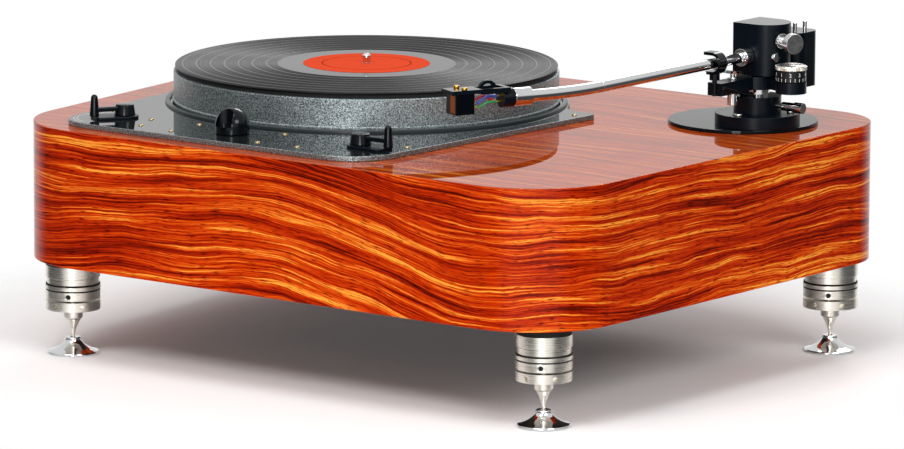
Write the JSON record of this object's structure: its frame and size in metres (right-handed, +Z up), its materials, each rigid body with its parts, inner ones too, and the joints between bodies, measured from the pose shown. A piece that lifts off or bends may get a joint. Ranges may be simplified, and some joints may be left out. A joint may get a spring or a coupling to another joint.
{
  "type": "turntable",
  "caption": "Idler-drive turntable on a rounded lacquered plinth with a long curved arm, levers, knob and spiked feet.",
  "frame": {"origin": "on the floor plane under the middle of the plinth", "axes": "+Z up, -Y to the front where the levers are, +X to the arm's side"},
  "size_m": [0.577, 0.456, 0.2666],
  "materials": {
    "lacquered_wood": "high gloss lacquer",
    "base_ply": "matt stain",
    "hammer_grey": "hammer finish",
    "brass_screw": "satin",
    "steel": "turned",
    "motor_paint": "satin",
    "black_rubber": "matt",
    "black_gloss": "gloss",
    "black_enamel": "gloss enamel",
    "vinyl": "grooved gloss",
    "label_paper": "matt",
    "chrome": "polished",
    "aluminium": "turned",
    "pulley_brass": "turned",
    "dial_black": "satin",
    "gold_plate": "polished",
    "wire_sleeve": "satin"
  },
  "bodies": {
    "base": {"plinth": "lacquered_wood", "base_board": "base_ply", "chassis_plate": "hammer_grey", "chassis_screws": "brass_screw", "main_bearing": "steel", "thrust_ball": "steel", "motor_bracket": "steel", "motor_mounts": "black_rubber", "motor_case": "motor_paint", "idler_arm": "steel", "lever_bases": "black_enamel", "arm_disc": "black_enamel", "arm_flange": "black_enamel", "flange_screws": "steel", "arm_pillar": "black_enamel", "cable_glands": "black_rubber", "foot_seals": "black_rubber", "foot_housings": "steel"},
    "platter": {"platter": "hammer_grey", "platter_mat": "black_rubber", "record": "vinyl", "record_label": "label_paper", "spindle_shaft": "steel"},
    "idler": {"idler_wheel": "aluminium", "idler_tyre": "black_rubber"},
    "pulley": {"motor_pulley": "pulley_brass"},
    "speed_lever": {"speed_lever": "black_gloss"},
    "start_lever": {"start_lever": "black_gloss"},
    "speed_knob": {"speed_knob": "black_gloss"},
    "arm_carriage": {"arm_post": "chrome", "arm_carrier": "black_enamel", "arm_rest": "black_gloss", "lift_cylinder": "chrome"},
    "lift": {"lift_bar": "chrome"},
    "cue_lever": {"cue_lever": "black_gloss"},
    "force_dial": {"force_dial": "dial_black"},
    "arm_yaw": {"arm_block": "black_enamel", "pivot_screws": "chrome"},
    "side_knob": {"side_knob": "aluminium"},
    "arm_pitch": {"arm_tube": "chrome", "arm_collar": "chrome", "pivot_pin": "steel", "headshell": "black_enamel", "cartridge": "black_gloss", "stylus": "aluminium", "cartridge_screws": "gold_plate", "contact_pins": "gold_plate", "signal_wires": "wire_sleeve"},
    "counterweight": {"counterweight": "black_enamel", "weight_pins": "chrome"},
    "collet_ring": {"collet_ring": "chrome"},
    "thumbscrew": {"thumbscrew": "steel"},
    "foot_fl": {"foot_spike_fl": "steel", "foot_shoe_fl": "chrome"},
    "foot_fr": {"foot_spike_fr": "steel", "foot_shoe_fr": "chrome"},
    "foot_bl": {"foot_spike_bl": "steel", "foot_shoe_bl": "chrome"},
    "foot_br": {"foot_spike_br": "steel", "foot_shoe_br": "chrome"}
  },
  "joints": [
    {"name": "platter_spin", "type": "hinge", "parent": "base", "child": "platter", "pos_m": [-0.0724, 0.013, 0.2132], "axis": [0, 0, 1], "continuous": true},
    {"name": "idler_spin", "type": "hinge", "parent": "base", "child": "idler", "pos_m": [-0.09285, 0.12896, 0.2018], "axis": [0, 0, 1], "continuous": true},
    {"name": "pulley_spin", "type": "hinge", "parent": "base", "child": "pulley", "pos_m": [-0.09795, 0.10001, 0.1978], "axis": [0, 0, 1], "continuous": true},
    {"name": "speed_select", "type": "hinge", "parent": "base", "child": "speed_lever", "pos_m": [-0.1675, -0.17, 0.1878], "axis": [0, 0, 1], "range_deg": [-45, 15]},
    {"name": "start_stop", "type": "hinge", "parent": "base", "child": "start_lever", "pos_m": [0.0611, -0.1654, 0.1878], "axis": [0, 0, 1], "range_deg": [0, 50]},
    {"name": "fine_speed", "type": "hinge", "parent": "base", "child": "speed_knob", "pos_m": [-0.0545, -0.177, 0.1878], "axis": [0, 0, 1], "range_deg": [-135, 135]},
    {"name": "arm_height", "type": "slide", "parent": "base", "child": "arm_carriage", "axis": [0, 0, 1], "range_m": [0, 0.008]},
    {"name": "arm_lift", "type": "slide", "parent": "arm_carriage", "child": "lift", "axis": [0, 0, 1], "range_m": [0, 0.003]},
    {"name": "cue", "type": "hinge", "parent": "arm_carriage", "child": "cue_lever", "pos_m": [0.237, 0.096, 0.2131], "axis": [1, 0, 0], "range_deg": [0, 35]},
    {"name": "force_set", "type": "hinge", "parent": "arm_carriage", "child": "force_dial", "pos_m": [0.2685, 0.1065, 0.2256], "axis": [0, 0, 1], "range_deg": [-150, 150]},
    {"name": "arm_yaw", "type": "hinge", "parent": "arm_carriage", "child": "arm_yaw", "pos_m": [0.228, 0.12, 0.2411], "axis": [0, 0, 1], "range_deg": [-54, 0]},
    {"name": "skate_set", "type": "hinge", "parent": "arm_yaw", "child": "side_knob", "pos_m": [0.25069, 0.11726, 0.2541], "axis": [0.9272, -0.3746, 0], "range_deg": [-150, 150]},
    {"name": "arm_pitch", "type": "hinge", "parent": "arm_yaw", "child": "arm_pitch", "pos_m": [0.228, 0.114, 0.2411], "axis": [1, 0, 0], "range_deg": [-1.5, 1.9]},
    {"name": "weight_set", "type": "slide", "parent": "arm_pitch", "child": "counterweight", "axis": [0, 1, 0], "range_m": [0, 0.006]},
    {"name": "collet_turn", "type": "hinge", "parent": "arm_pitch", "child": "collet_ring", "pos_m": [0.21301, -0.15502, 0.2411], "axis": [-0.4226, -0.9063, 0], "range_deg": [-60, 60]},
    {"name": "clamp_turn", "type": "hinge", "parent": "base", "child": "thumbscrew", "pos_m": [0.228, 0.12, 0.20285], "axis": [1, 0, 0], "range_deg": [-180, 180]},
    {"name": "level_fl", "type": "slide", "parent": "base", "child": "foot_fl", "axis": [0, 0, -1], "range_m": [0, 0.006]},
    {"name": "level_fr", "type": "slide", "parent": "base", "child": "foot_fr", "axis": [0, 0, -1], "range_m": [0, 0.006]},
    {"name": "level_bl", "type": "slide", "parent": "base", "child": "foot_bl", "axis": [0, 0, -1], "range_m": [0, 0.006]},
    {"name": "level_br", "type": "slide", "parent": "base", "child": "foot_br", "axis": [0, 0, -1], "range_m": [0, 0.006]}
  ],
  "couplings": [
    {"joint": "idler_spin", "follows": "platter_spin", "ratio": 5.5346},
    {"joint": "pulley_spin", "follows": "platter_spin", "ratio": -44.277},
    {"joint": "arm_lift", "follows": "cue", "m_per_rad": 0.0049}
  ]
}
